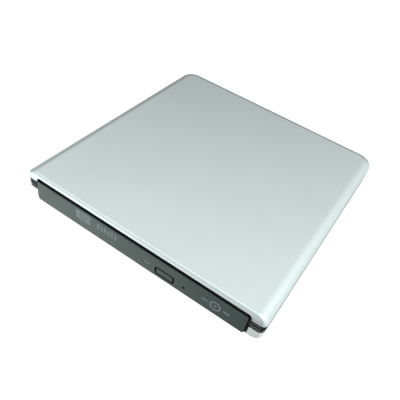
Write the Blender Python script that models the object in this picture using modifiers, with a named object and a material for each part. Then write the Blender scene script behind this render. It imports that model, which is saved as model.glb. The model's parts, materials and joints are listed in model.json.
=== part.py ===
"""External optical drive: a slim tray-loading disc drive inside a pressed aluminium clamshell case.

Lengths are millimetres, and add() turns them into metres. The frame is +Z up with the bezel towards -Y,
and the origin lies under the middle of the case, level with the soles of its feet.
"""

import math

import bmesh
import bpy
from mathutils import Matrix, Vector

MM = 0.001
GAP = 0.3  # clearance between pieces that rest on each other

# Case
CASE_HALF_WIDTH = 72.5
CASE_FRONT, CASE_BACK = -76.05, 76.95
CASE_BOTTOM, CASE_TOP = 0.8, 18.5
WALL = 1.2
LOWER_RIM, UPPER_RIM = 7.5, 13.0
ROLL_SIDE, ROLL_HEIGHT, ROLL_FRONT = 6.0, 4.0, 1.3
CORNER_FRONT, CORNER_BACK = 3.0, 9.5
SHRINK_FRONT, SHRINK_BACK = 0.667, 0.632  # how far a roll takes up its corners' radii
WINDOW_HALF_WIDTH, WINDOW_BOTTOM, WINDOW_TOP, WINDOW_CORNER = 65.3, 1.9, 16.0, 2.2
FEET = [(-58, -60), (58, -60), (-58, 57.5), (58, 57.5)]
CASE_SCREWS = [(-60, 66), (60, 66)]
DRIVE_SCREWS = [(-40, -30), (40, -30)]
BOARD_SCREWS = [(-49, 70), (8, 70)]
PORT_X, PORT_Z = -8.0, 9.9

# Drive
CHASSIS_HALF_WIDTH, CHASSIS_FRONT, CHASSIS_BACK = 63.8, -75.05, 51.8
CHASSIS_FLOOR, CHASSIS_RIM, SHEET = 3.1, 12.6, 0.6
LID_FRONT, LID_TOP = -72.0, 15.6
TRAY_FRONT, TRAY_BACK = -75.05, 46.5
DECK_HALF_WIDTH, DECK_BOTTOM, DECK_TOP = 62.7, 10.3, 14.5
TUB_HALF_WIDTH, TUB_BOTTOM, TUB_CEILING = 58.9, 4.1, 9.0
SPINDLE = (0.0, -11.4)
DISC_RECESS, DISC_FLOOR = 60.4, 11.4
SMALL_DISC_RECESS, SMALL_DISC_FLOOR = 40.3, 10.0
BEZEL_HALF_WIDTH, BEZEL_FRONT, BEZEL_BACK = 64.0, -76.95, -75.35
BEZEL_BOTTOM, BEZEL_TOP = 2.2, 14.9
EJECT_PIN = (30.2, 6.6)
LATCH_PIVOT, LATCH_RELEASE = (38.5, -50.0), math.radians(-15)
LOCK_POST = (46.2, -66.1)
EJECTOR = (52.5, 6.8)

# Traverse, in a frame that is turned about the spindle so that u runs along the pickup's travel
TRAVERSE_TURN = math.radians(225)
LENS_AT_REST = 24.5
GUIDE_RODS = (-12.5, 13.0)
LEAD_SCREW = 18.5
SHAFT_HEIGHT = 6.95


def clear_scene():
    for old in list(bpy.data.objects):
        bpy.data.objects.remove(old, do_unlink=True)


def collection(name):
    made = bpy.data.collections.new(name)
    bpy.context.scene.collection.children.link(made)
    return made


def finish(name, colour, roughness, metallic=0.0):
    made = bpy.data.materials.new(name)
    made.use_nodes = True
    made.diffuse_color = (*colour, 1)
    shader = made.node_tree.nodes["Principled BSDF"]
    shader.inputs["Base Color"].default_value = (*colour, 1)
    shader.inputs["Roughness"].default_value = roughness
    shader.inputs["Metallic"].default_value = metallic
    return made


clear_scene()
PARTS = collection("external_optical_drive")
CUTTERS = collection("cutters")
ALUMINIUM = finish("satin_aluminium", (0.66, 0.70, 0.70), 0.32, 1.0)
PALE_ALUMINIUM = finish("pale_aluminium", (0.72, 0.74, 0.74), 0.4, 1.0)
BEZEL_GREY = finish("bezel_plastic", (0.07, 0.085, 0.08), 0.38)
BLACK_PLASTIC = finish("black_plastic", (0.015, 0.015, 0.016), 0.45)
TRAY_PLASTIC = finish("tray_plastic", (0.03, 0.03, 0.032), 0.5)
STEEL = finish("pressed_steel", (0.62, 0.62, 0.60), 0.35, 1.0)
BRIGHT_STEEL = finish("bright_steel", (0.75, 0.75, 0.74), 0.2, 1.0)
RUBBER = finish("black_rubber", (0.02, 0.02, 0.02), 0.8)
BOARD_GREEN = finish("circuit_board", (0.02, 0.14, 0.05), 0.45)
CHIP_BLACK = finish("chip_epoxy", (0.02, 0.02, 0.022), 0.5)
CONNECTOR_IVORY = finish("connector_nylon", (0.75, 0.72, 0.62), 0.5)
FLEX_AMBER = finish("flex_polyimide", (0.55, 0.27, 0.05), 0.35)
CLEAR_PLASTIC = finish("light_pipe_acrylic", (0.75, 0.85, 0.72), 0.1)
LENS_GLASS = finish("lens_glass", (0.25, 0.35, 0.6), 0.05)
SCREW_BLACK = finish("blackened_steel", (0.05, 0.05, 0.052), 0.35, 1.0)


def add(name, shape, surface, parent=None):
    """Makes an object of a bmesh in millimetres. A shape with no surface is a helper for a Boolean."""
    bmesh.ops.scale(shape, vec=(MM, MM, MM), verts=shape.verts)
    if shape.faces:
        bmesh.ops.recalc_face_normals(shape, faces=shape.faces)
    mesh = bpy.data.meshes.new(name)
    shape.to_mesh(mesh)
    shape.free()
    made = bpy.data.objects.new(name, mesh)
    made.parent = parent
    if surface is None:
        CUTTERS.objects.link(made)
        made.hide_render = True
        made.display_type = "WIRE"
    else:
        PARTS.objects.link(made)
        mesh.materials.append(surface)
    return made


def carrier(name, at, turn=0.0, parent=None):
    """An empty on a joint's axis, which the pieces that move with it hang from."""
    made = bpy.data.objects.new(name, None)
    made.location = Vector(at) * MM
    made.rotation_euler.z = turn
    made.parent = parent
    PARTS.objects.link(made)
    return made


def block(name, x, y, z, surface=None, parent=None):
    size = [high - low for low, high in (x, y, z)]
    centre = [(low + high) / 2 for low, high in (x, y, z)]
    shape = bmesh.new()
    bmesh.ops.create_cube(shape, matrix=Matrix.Translation(centre) @ Matrix.Diagonal((*size, 1)))
    return add(name, shape, surface, parent)


def bar(name, start, end, width, z, surface=None, parent=None):
    """A flat bar of this width between two points in plan."""
    start, end = Vector((*start, 0)), Vector((*end, 0))
    middle = (start + end) / 2 + Vector((0, 0, (z[0] + z[1]) / 2))
    turn = Matrix.Rotation(math.atan2(end.y - start.y, end.x - start.x), 4, "Z")
    size = Matrix.Diagonal(((end - start).length, width, z[1] - z[0], 1))
    shape = bmesh.new()
    bmesh.ops.create_cube(shape, matrix=Matrix.Translation(middle) @ turn @ size)
    return add(name, shape, surface, parent)


def rod(name, radius, start, end, surface=None, parent=None, sides=20):
    start, end = Vector(start), Vector(end)
    turn = (end - start).to_track_quat("Z", "Y").to_matrix().to_4x4()
    shape = bmesh.new()
    bmesh.ops.create_cone(
        shape,
        cap_ends=True,
        segments=sides,
        radius1=radius,
        radius2=radius,
        depth=(end - start).length,
        matrix=Matrix.Translation((start + end) / 2) @ turn,
    )
    return smooth(add(name, shape, surface, parent))


def turned(name, profile, surface=None, parent=None, at=(0, 0), sides=24, closed=False):
    """Turns (radius, height) points about the vertical at a point in plan. They run top to bottom outside."""
    shape = bmesh.new()
    points = [shape.verts.new((radius, 0, height)) for radius, height in profile]
    for first, second in zip(points, points[1:] + points[:1] if closed else points[1:]):
        shape.edges.new((first, second))
    made = add(name, shape, surface, parent)
    made.location = (at[0] * MM, at[1] * MM, 0)
    screw = made.modifiers.new("turn", "SCREW")
    screw.steps = screw.render_steps = sides
    screw.use_merge_vertices = True
    screw.merge_threshold = 1e-6
    return made


def loft(name, rings, surface=None, parent=None, endless=False):
    """Skins rings of as many points each. The ends are capped, or an endless loft joins its last to its first."""
    shape = bmesh.new()
    loops = [[shape.verts.new(point) for point in ring] for ring in rings]
    for lower, upper in zip(loops, loops[1:] + loops[:1] if endless else loops[1:]):
        for i in range(len(lower)):
            j = (i + 1) % len(lower)
            shape.faces.new((lower[i], lower[j], upper[j], upper[i]))
    if not endless:
        shape.faces.new(loops[0])
        shape.faces.new(loops[-1])
    return smooth(add(name, shape, surface, parent))


def smooth(made):
    made.data.shade_smooth()
    made.data.set_sharp_from_angle(angle=math.radians(35))
    return made


def shape_with(made, operation, tools):
    for tool in tools:
        step = made.modifiers.new(tool.name, "BOOLEAN")
        step.operation = operation
        step.solver = "EXACT"
        step.object = tool


def cut(made, *tools):
    shape_with(made, "DIFFERENCE", tools)


def fuse(made, *tools):
    shape_with(made, "UNION", tools)


def bevel(made, width, segments=2):
    step = made.modifiers.new("edges", "BEVEL")
    step.width = width * MM
    step.segments = segments
    step.limit_method = "ANGLE"


def case_outline(inset, z, front_inset, corner_front, corner_back):
    """The case's plan, anticlockwise from above, inset from its sides and back and from its front."""
    x = CASE_HALF_WIDTH - inset
    front, back = CASE_FRONT + front_inset, CASE_BACK - inset
    corners = [
        (x - corner_front, front + corner_front, corner_front, -90, 4),
        (x - corner_back, back - corner_back, corner_back, 0, 8),
        (corner_back - x, back - corner_back, corner_back, 90, 8),
        (corner_front - x, front + corner_front, corner_front, 180, 4),
    ]
    points = []
    for centre_x, centre_y, radius, begin, steps in corners:
        for i in range(steps + 1):
            angle = math.radians(begin + 90 * i / steps)
            points.append((centre_x + radius * math.cos(angle), centre_y + radius * math.sin(angle), z))
    return points


def half_case(name, rim, face, skin=0.0, surface=None):
    """One half of the case as a solid pillow from its rim to its face, all round inset by a skin."""
    up = 1 if face > rim else -1
    start = rim - up * (1.0 if skin else 0.0)
    rings = [case_outline(skin, start, skin, CORNER_FRONT - skin, CORNER_BACK - skin)]
    steps = 6
    for i in range(steps + 1):
        angle = math.pi / 2 * i / steps
        rolled = 1 - math.cos(angle)
        rings.append(
            case_outline(
                skin + (ROLL_SIDE - skin) * rolled,
                face - up * (skin + (ROLL_HEIGHT - skin) * (1 - math.sin(angle))),
                skin + (ROLL_FRONT - skin) * rolled,
                (CORNER_FRONT - skin) * (1 - SHRINK_FRONT * rolled),
                (CORNER_BACK - skin) * (1 - SHRINK_BACK * rolled),
            )
        )
    return loft(name, rings, surface)


def front_window():
    """The opening through the front of both halves, with rounded upper and lower corners."""
    x, low, high, radius = WINDOW_HALF_WIDTH, WINDOW_BOTTOM, WINDOW_TOP, WINDOW_CORNER
    outline = []
    for sign_x, sign_z, begin in ((1, -1, -90), (1, 1, 0), (-1, 1, 90), (-1, -1, 180)):
        for i in range(5):
            angle = math.radians(begin + 90 * i / 4)
            centre_z = high - radius if sign_z > 0 else low + radius
            outline.append((sign_x * (x - radius) + radius * math.cos(angle), centre_z + radius * math.sin(angle)))
    depth = 6.0
    rings = [[(x, y, z) for x, z in outline] for y in (CASE_FRONT - depth, CASE_FRONT + depth)]
    return loft("window", rings)


def countersunk(name, top, surface, at):
    """A screw from below: a flat head flush in its countersink and a plain shaft up to top."""
    return turned(name, [(0, top), (1, top), (1, 2.3), (2.2, 1.1), (0, 1.1)], surface, at=at, sides=16)


def countersink(at):
    return turned("countersink", [(0, 8), (1.3, 8), (1.3, 2.42), (2.6, 1.12), (2.6, 0.5), (0, 0.5)], at=at, sides=16)


def case():
    window = front_window()
    top = half_case("top_shell", UPPER_RIM, CASE_TOP, surface=ALUMINIUM)
    cut(top, half_case("top_hollow", UPPER_RIM, CASE_TOP, WALL))
    for x, y in CASE_SCREWS:
        fuse(top, rod("top_boss", 2.6, (x, y, 8), (x, y, CASE_TOP - WALL / 2)))
        cut(top, rod("thread", 1.3, (x, y, 7), (x, y, 14)))
    cut(top, window)

    bottom = half_case("bottom_shell", LOWER_RIM, CASE_BOTTOM, surface=PALE_ALUMINIUM)
    cut(bottom, half_case("bottom_hollow", LOWER_RIM, CASE_BOTTOM, WALL))
    inside = CASE_BOTTOM + WALL / 2
    for x, y in CASE_SCREWS:
        fuse(bottom, rod("case_boss", 2.6, (x, y, inside), (x, y, 7.6)))
    for x, y in DRIVE_SCREWS:
        fuse(bottom, rod("drive_boss", 3.0, (x, y, inside), (x, y, CHASSIS_FLOOR - GAP)))
    for x, y in BOARD_SCREWS:
        fuse(bottom, rod("board_boss", 2.5, (x, y, inside), (x, y, 6.9)))
        cut(bottom, rod("board_thread", 1.2, (x, y, 3.4), (x, y, 8)))
    for at in CASE_SCREWS + DRIVE_SCREWS:
        cut(bottom, countersink(at))
    for x, y in FEET:
        cut(bottom, rod("foot_seat", 5.2, (x, y, 0), (x, y, 1.2)))
    cut(bottom, window)

    for number, at in enumerate(FEET, 1):
        turned(f"foot_{number}", [(0, 0.9), (4.9, 0.9), (4.9, 0.3), (4.6, 0), (0, 0)], RUBBER, at=at)
    for number, at in enumerate(CASE_SCREWS, 1):
        countersunk(f"case_screw_{number}", UPPER_RIM, SCREW_BLACK, at)
    for number, at in enumerate(DRIVE_SCREWS, 1):
        countersunk(f"drive_screw_{number}", CHASSIS_FLOOR + SHEET + 0.1, SCREW_BLACK, at)


def midframe():
    """The black band between the shells: two ribs outside, tongues up and down into both shells."""
    profile = [
        (1.5, 4.9),
        (1.5, 7.8),
        (0.75, 7.8),
        (0.75, 9.25),
        (0.15, 9.4),
        (0.15, 10.0),
        (0.75, 10.15),
        (0.75, 11.05),
        (0.15, 11.2),
        (0.15, 11.8),
        (0.75, 11.95),
        (0.75, 12.7),
        (1.5, 12.7),
        (1.5, 14.6),
        (3.0, 14.6),
        (3.0, 4.9),
    ]
    smallest = 0.4
    rings = [
        case_outline(inset, z, inset, max(CORNER_FRONT - inset, smallest), CORNER_BACK - inset)
        for inset, z in profile
    ]
    frame = loft("midframe", rings, BLACK_PLASTIC, endless=True)
    opening = 64.2
    cut(frame, block("frame_opening", (-opening, opening), (-80, -70), (0, 20)))
    for side in (-1, 1):
        cheek_x = sorted((side * opening, side * 65.0))
        fuse(frame, block("cheek", cheek_x, (-76.15, -73.05), (4.3, 14.4)))
        fuse(frame, block("cheek_root", sorted((side * 64.6, side * 67.0)), (-74.55, -73.05), (4.9, 14.6)))
    fuse(frame, block("port_plate", (PORT_X - 12, PORT_X + 12), (74.3, 76.85), (7.8, 12.7)))
    cut(frame, block("port_hole", (PORT_X - 6.6, PORT_X + 6.6), (70, 80), (PORT_Z - 1.7, PORT_Z + 1.7)))


def rear_bay():
    """The bridge board behind the drive, with the USB socket and the connector that the drive plugs into."""
    board_top = 8.2
    board = block("bridge_board", (-54, 12), (60.8, 73.5), (7.2, board_top), BOARD_GREEN)
    for number, (x, y) in enumerate(BOARD_SCREWS, 1):
        cut(board, rod("board_hole", 1.2, (x, y, 6), (x, y, 9)))
        head = board_top + GAP
        turned(
            f"board_screw_{number}",
            [(0, head + 0.8), (1.9, head + 0.8), (1.9, head), (0.9, head), (0.9, 4), (0, 4)],
            BRIGHT_STEEL,
            at=(x, y),
            sides=20,
        )
    block("bridge_chip", (-34, -27), (63, 70), (board_top + GAP, 9.4), CHIP_BLACK)
    block("board_connector", (-52, -18), (55.0, 60.5), (5.8, 9.3), BLACK_PLASTIC)

    outline = [
        (-5.4, -1.4),
        (5.8, -1.4),
        (6.2, -1.0),
        (6.2, 1.0),
        (5.8, 1.4),
        (2.3, 1.4),
        (1.7, 0.9),
        (0.9, 0.9),
        (0.4, 1.4),
        (-5.9, 1.4),
        (-6.2, 1.1),
        (-6.2, -0.5),
    ]

    def socket_tube(name, shrink_x, shrink_z, ends, surface=None):
        rings = [[(PORT_X + x * shrink_x, y, PORT_Z + z * shrink_z) for x, z in outline] for y in ends]
        return loft(name, rings, surface)

    socket = socket_tube("usb_shell", 1, 1, (64.0, 76.5), STEEL)
    cut(socket, socket_tube("socket_hollow", 0.945, 0.76, (63.0, 77.5)))
    tongue = block("usb_tongue", (PORT_X - 5.3, PORT_X + 5.3), (64.4, 66.2), (9.15, 10.45), BLACK_PLASTIC)
    fuse(tongue, block("tongue", (PORT_X - 4.6, PORT_X + 4.6), (66.0, 75.6), (9.55, 10.1)))


def chassis():
    """The drive's own pressed-steel tub and lid, and what is fixed in them."""
    x, rim = CHASSIS_HALF_WIDTH, CHASSIS_RIM
    tub = block("drive_chassis", (-x, x), (CHASSIS_FRONT, CHASSIS_BACK), (CHASSIS_FLOOR, rim), STEEL)
    inner = x - SHEET
    cut(
        tub,
        block("tub_hollow", (-inner, inner), (CHASSIS_FRONT - 1, CHASSIS_BACK - SHEET), (CHASSIS_FLOOR + SHEET, rim + 1)),
        block("socket_notch", (-52.5, -17.5), (50, 53), (5.4, 9.7)),
        *[rod("floor_hole", 1.3, (at[0], at[1], 2), (at[0], at[1], 5)) for at in DRIVE_SCREWS],
    )
    lid_bottom = rim + GAP
    lid = block("drive_lid", (-x, x), (LID_FRONT, CHASSIS_BACK), (lid_bottom, LID_TOP), STEEL)
    cut(
        lid,
        block("lid_hollow", (-inner, inner), (LID_FRONT - 1, CHASSIS_BACK + 1), (lid_bottom - 1, LID_TOP - SHEET)),
    )
    for side, name in ((-1, "left"), (1, "right")):
        channel(f"outer_guide_{name}", side, (59.9, 62.9), (-74, 50), (4.0, 10.0), SHEET)
        channel(f"sliding_rail_{name}", side, (59.3, 62.0), (-74, 46), (4.9, 9.1), 0.5)
    rod("lock_post", 1.1, (*LOCK_POST, 4.0), (*LOCK_POST, 8.5), BRIGHT_STEEL, sides=20)
    block("rear_board", (-58, 44), (47.0, 50.8), (4.7, 5.5), BOARD_GREEN)
    block("drive_connector", (-51, -19), (47.4, 54.5), (5.8, 9.3), CONNECTOR_IVORY)
    flex_cable()


def channel(name, side, x, y, z, wall):
    """A rail of C section that opens towards the middle of the drive."""
    rail = block(name, sorted((side * x[0], side * x[1])), y, z, BRIGHT_STEEL)
    hollow_x = sorted((side * (x[0] - 1), side * (x[1] - wall)))
    cut(rail, block("channel_hollow", hollow_x, (y[0] - 1, y[1] + 1), (z[0] + wall, z[1] - wall)))


def flex_cable():
    """The flat cable: flat on the floor, folded back on itself, then along the tray's underside."""
    low, high, fold, floor_end, tray_end = 4.15, 5.35, -19.0, 50.5, 43.8
    radius = (high - low) / 2
    steps = 6
    route = [(floor_end, low)]
    for i in range(steps + 1):
        angle = math.pi * i / steps
        route.append((fold - radius * math.sin(angle), low + radius - radius * math.cos(angle)))
    route.append((tray_end, high))
    shape = bmesh.new()
    sides = [[shape.verts.new((x, y, z)) for y, z in route] for x in (31.5, 41.5)]
    for i in range(len(route) - 1):
        shape.faces.new((sides[0][i], sides[0][i + 1], sides[1][i + 1], sides[1][i]))
    ribbon = add("flex_cable", shape, FLEX_AMBER)
    sheet = ribbon.modifiers.new("thickness", "SOLIDIFY")
    sheet.thickness = 0.3 * MM
    sheet.offset = 0


def tray(carrier_tray, traverse):
    x = DECK_HALF_WIDTH
    made = block("tray", (-x, x), (TRAY_FRONT, TRAY_BACK), (DECK_BOTTOM, DECK_TOP), TRAY_PLASTIC, carrier_tray)
    x = TUB_HALF_WIDTH
    fuse(
        made,
        block("tub", (-x, x), (TRAY_FRONT, TRAY_BACK), (TUB_BOTTOM, DECK_BOTTOM + 0.2)),
        block("tongues", (-61.1, 61.1), (-75.0, 46.0), (5.8, 8.2)),
    )
    pocket = 57.4
    front, back = TRAY_FRONT + 2.45, TRAY_BACK - 2.5
    aperture = (8.5, DISC_FLOOR + 0.1)
    pin_x, pin_z = EJECT_PIN
    rod_x, rod_z = EJECTOR
    cut(
        made,
        rod("disc_recess", DISC_RECESS, (*SPINDLE, DISC_FLOOR), (*SPINDLE, 16), sides=96),
        rod("small_disc_recess", SMALL_DISC_RECESS, (*SPINDLE, SMALL_DISC_FLOOR), (*SPINDLE, 16), sides=72),
        block("pocket", (-pocket, pocket), (front, back), (3, TUB_CEILING)),
        block("traverse_aperture", (-18, 52), (-18.5, 23), aperture, parent=traverse),
        block("pickup_slot", (50, 59.7), (-8.9, 8.9), aperture, parent=traverse),
        block("post_lane", (43.6, 48.8), (40, 50), (3, 8.9)),
        block("flex_lane", (30.5, 42.5), (40, 50), (3, 5.9)),
        rod("ejector_hole", 1.2, (rod_x, 40, rod_z), (rod_x, 50, rod_z)),
        block("button_window", (13.3, 24.7), (-78, -70), (4.5, 9.1)),
        block("light_window", (5.7, 10.6), (-78, -70), (6.3, 7.8)),
        rod("pin_hole", 0.9, (pin_x, -78, pin_z), (pin_x, -70, pin_z), sides=16),
    )
    fuse(made, block("ejector_rib", (50, 55), (17.4, 19.4), (5, TUB_CEILING + 0.2)))
    return made


def tray_fittings(carrier_tray):
    """The bezel, boards and small pieces that travel on the tray."""
    x = BEZEL_HALF_WIDTH
    bezel = block("bezel", (-x, x), (BEZEL_FRONT, BEZEL_BACK), (BEZEL_BOTTOM, BEZEL_TOP), BEZEL_GREY, carrier_tray)
    bevel(bezel, 0.4)
    pin_x, pin_z = EJECT_PIN
    cut(
        bezel,
        block("button_hole", (13.5, 24.5), (-78, -74), (4.7, 8.9)),
        block("light_slit", (6.0, 10.3), (-78, -74), (6.55, 7.55)),
        rod("pin_hole", 0.65, (pin_x, -78, pin_z), (pin_x, -74, pin_z), sides=16),
    )
    button = block("eject_button", (13.8, 24.2), (BEZEL_FRONT, -75.3), (5.0, 8.6), BEZEL_GREY, carrier_tray)
    bevel(button, 0.25)
    fuse(button, block("button_stem", (17.5, 20.5), (-75.6, -72.3), (6.5, 8.3)))
    block("light_pipe", (6.25, 10.05), (BEZEL_FRONT, -71.4), (6.8, 7.3), CLEAR_PLASTIC, carrier_tray)
    block("front_board", (4, 27), (-72.2, -66.5), (5.2, 6.0), BOARD_GREEN, carrier_tray)
    block("eject_switch", (16.5, 21.5), (-71.3, -68.3), (6.3, 8.8), CHIP_BLACK, carrier_tray)
    block("status_led", (7.2, 9.2), (-71.0, -69.4), (6.3, 7.5), CONNECTOR_IVORY, carrier_tray)
    block("tray_base_cover", (-57, 30), (-72.2, 43.6), (4.2, 4.6), STEEL, carrier_tray)
    block("tray_board", (-40, 41), (16, 43), (6.3, 7.3), BOARD_GREEN, carrier_tray)
    block("servo_chip", (-12, 2), (22, 36), (7.6, 8.6), CHIP_BLACK, carrier_tray)

    rod_x, rod_z = EJECTOR
    ejector = rod("ejector_rod", 0.9, (rod_x, 19.9, rod_z), (rod_x, 50.7, rod_z), BRIGHT_STEEL, carrier_tray, 16)
    fuse(ejector, rod("collar", 1.9, (rod_x, 19.8, rod_z), (rod_x, 21.4, rod_z), sides=20))
    spring = rod("ejector_spring", 2.0, (rod_x, 21.8, rod_z), (rod_x, 43.6, rod_z), BRIGHT_STEEL, carrier_tray, 20)
    cut(spring, rod("coil_hollow", 1.25, (rod_x, 21, rod_z), (rod_x, 45, rod_z), sides=20))


def latch(carrier_tray):
    """The solenoid latch: its hook reaches behind a post on the chassis, and rests swung clear of it."""
    z = (5.6, 7.6)
    pivot = carrier("latch_axis", (*LATCH_PIVOT, 0), LATCH_RELEASE, carrier_tray)
    hook = rod("latch_hook", 2.2, (0, 0, z[0]), (0, 0, z[1]), CONNECTOR_IVORY, pivot)
    fuse(
        hook,
        bar("hook_arm", (0, 0), (1.5, -13.2), 2.2, z, parent=pivot),
        bar("hook_tip", (0.8, -13.2), (8.3, -13.2), 2.0, z, parent=pivot),
        bar("plunger_arm", (0, 0), (0, 6.5), 2.0, z, parent=pivot),
        bar("pin_arm", (0, 0), (-8.3, -10.0), 2.0, z, parent=pivot),
    )
    cut(hook, rod("pivot_hole", 1.2, (0, 0, 5), (0, 0, 8), parent=pivot))
    rod("latch_pin", 0.9, (*LATCH_PIVOT, 4.9), (*LATCH_PIVOT, 8.7), BRIGHT_STEEL, carrier_tray, 16)
    y, height = -44.0, 6.8
    solenoid = block("solenoid", (20, 32), (y - 3.6, y + 3.6), (5.0, 8.6), CHIP_BLACK, carrier_tray)
    cut(solenoid, rod("solenoid_bore", 1.3, (22.5, y, height), (34, y, height)))
    rod("solenoid_plunger", 1.0, (25, y, height), (38.5, y, height), BRIGHT_STEEL, carrier_tray, 16)


def along_travel(name, radius, v, u, surface=None, parent=None, sides=20):
    return rod(name, radius, (u[0], v, SHAFT_HEIGHT), (u[1], v, SHAFT_HEIGHT), surface, parent, sides)


def traverse_unit(traverse):
    """The sub-chassis that carries the spindle motor and the pickup's guides."""
    z = (5.2, 8.7)
    through = (4, 10)
    frame = block("traverse_frame", (-17, 62.3), (-17, 22.3), z, STEEL, traverse)
    cut(
        frame,
        rod("motor_hole", 13.3, (0, 0, 4), (0, 0, 10), parent=traverse, sides=40),
        block("pickup_opening", (13.6, 60.5), (-15.2, 20.6), through, parent=traverse),
        block("motor_gap", (9, 14), (-8.5, 8.5), through, parent=traverse),
        block("stepper_pocket", (-4, 13.7), (15.6, 21), through, parent=traverse),
        along_travel("screw_bearing", 1.4, LEAD_SCREW, (60, 61.7), parent=traverse),
        *[along_travel("rod_seat", 1.5, v, (11.7, 61.7), parent=traverse) for v in GUIDE_RODS],
    )
    for number, v in enumerate(GUIDE_RODS, 1):
        along_travel(f"guide_rod_{number}", 1.1, v, (12.0, 61.4), BRIGHT_STEEL, traverse)
    along_travel("stepper_motor", 2.1, LEAD_SCREW, (-3, 10.3), STEEL, traverse)
    screw_axis = carrier("lead_screw_axis", (0, LEAD_SCREW, 0), parent=traverse)
    along_travel("lead_screw", 1.1, 0, (10.8, 61.4), BRIGHT_STEEL, screw_axis)
    cover = block("traverse_cover", (-17.5, 51.5), (-18, 22.5), (9.4, 9.9), STEEL, traverse)
    cut(
        cover,
        rod("hub_hole", 15.4, (0, 0, 9), (0, 0, 11), parent=traverse, sides=40),
        block("pickup_gap", (12, 53), (-9.2, 9.2), (9, 11), parent=traverse),
    )


def spindle(traverse):
    motor_profile = [(1.3, 8.6), (11.4, 8.6), (11.4, 5.6), (12.4, 5.6), (12.4, 4.8), (1.3, 4.8)]
    turned("spindle_motor", motor_profile, STEEL, traverse, sides=32, closed=True)
    hub = carrier("spindle_axis", (0, 0, 0), parent=traverse)
    hub_radius, hub_top = 7.35, 14.4
    profile = [
        (0, hub_top),
        (6.6, hub_top),
        (hub_radius, 13.9),
        (hub_radius, 12.2),
        (14.2, 12.2),
        (14.2, 10.5),
        (11.8, 10.5),
        (11.8, 8.9),
        (1.0, 8.9),
        (1.0, 5.4),
        (0, 5.4),
    ]
    table = turned("turntable", profile, BLACK_PLASTIC, hub, sides=36)
    mat = [(13.6, 12.9), (13.6, 12.5), (9.5, 12.5), (9.5, 12.9)]
    turned("turntable_mat", mat, RUBBER, hub, sides=36, closed=True)
    for number in range(1, 4):
        turn = 2 * math.pi * (number - 1) / 3
        slide = carrier(f"claw_axis_{number}", (0, 0, 0), turn, hub)
        cut(table, block("claw_pocket", (4.4, 8.2), (-1.6, 1.6), (12.7, 15), parent=slide))
        claw = block(f"disc_claw_{number}", (5.2, 7.6), (-1.3, 1.3), (13.0, 13.9), CONNECTOR_IVORY, slide)
        bevel(claw, 0.2, 1)


def pickup(traverse):
    """The laser sled on its guide rods, and the lens that floats on it."""
    sled_axis = carrier("pickup_axis", (LENS_AT_REST, 0, 0), parent=traverse)
    sled = block("pickup_sled", (-9, 4), (-14.6, 17.0), (5.2, 8.7), BLACK_PLASTIC, sled_axis)
    fuse(sled, block("sled_top", (-7.5, 3.8), (-8, 8), (8.5, 10.6), parent=sled_axis))
    cut(
        sled,
        block("lens_well", (-3.6, 5), (-4.6, 4.6), (9.2, 12), parent=sled_axis),
        *[along_travel("rod_hole", 1.45, v, (-10, 5), parent=sled_axis) for v in GUIDE_RODS],
    )
    holder = block("lens_holder", (-3.2, 3.2), (-4.2, 4.2), (9.9, 11.2), CHIP_BLACK, sled_axis)
    cut(holder, rod("lens_seat", 2.3, (0, 0, 9), (0, 0, 12), parent=sled_axis))
    lens = [(0, 11.7), (0.8, 11.64), (1.5, 11.4), (2.0, 11.0), (2.0, 10.9), (0, 10.9)]
    turned("objective_lens", lens, LENS_GLASS, sled_axis)


def main():
    case()
    midframe()
    rear_bay()
    chassis()
    carrier_tray = carrier("tray_axis", (0, 0, 0))
    traverse = carrier("traverse_axis", (*SPINDLE, 0), TRAVERSE_TURN, carrier_tray)
    tray(carrier_tray, traverse)
    tray_fittings(carrier_tray)
    latch(carrier_tray)
    traverse_unit(traverse)
    spindle(traverse)
    pickup(traverse)


main()
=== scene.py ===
"""Looks of the external optical drive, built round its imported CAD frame.

Shapes are made in millimetres and scaled to metres in the row frame: +Z up, the bezel towards -Y.
"""

import json
import math

import bmesh
import bpy
from mathutils import Matrix, Vector

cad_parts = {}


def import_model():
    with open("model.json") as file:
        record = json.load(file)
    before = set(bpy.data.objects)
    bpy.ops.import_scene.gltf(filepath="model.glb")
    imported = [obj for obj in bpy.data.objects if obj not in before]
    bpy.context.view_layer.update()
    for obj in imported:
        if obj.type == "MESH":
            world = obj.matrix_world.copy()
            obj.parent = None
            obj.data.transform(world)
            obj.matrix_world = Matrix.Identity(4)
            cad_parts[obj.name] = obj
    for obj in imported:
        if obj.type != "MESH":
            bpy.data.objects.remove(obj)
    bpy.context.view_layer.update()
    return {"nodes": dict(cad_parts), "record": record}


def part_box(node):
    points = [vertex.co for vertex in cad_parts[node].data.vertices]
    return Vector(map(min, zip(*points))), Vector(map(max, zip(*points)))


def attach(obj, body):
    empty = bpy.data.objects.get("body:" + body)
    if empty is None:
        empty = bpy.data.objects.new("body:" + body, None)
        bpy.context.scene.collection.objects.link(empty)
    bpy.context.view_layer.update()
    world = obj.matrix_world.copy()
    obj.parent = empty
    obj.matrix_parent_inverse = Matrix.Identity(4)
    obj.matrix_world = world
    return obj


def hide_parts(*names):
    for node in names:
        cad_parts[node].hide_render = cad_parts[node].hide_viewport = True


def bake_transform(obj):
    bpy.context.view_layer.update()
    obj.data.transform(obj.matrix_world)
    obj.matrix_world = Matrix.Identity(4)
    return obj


MM = 0.001
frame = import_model()


def span(node):
    """(low, high) of a CAD node along x, y and z, in millimetres."""
    low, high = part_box(node)
    return [(a / MM, b / MM) for a, b in zip(low, high)]


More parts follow.
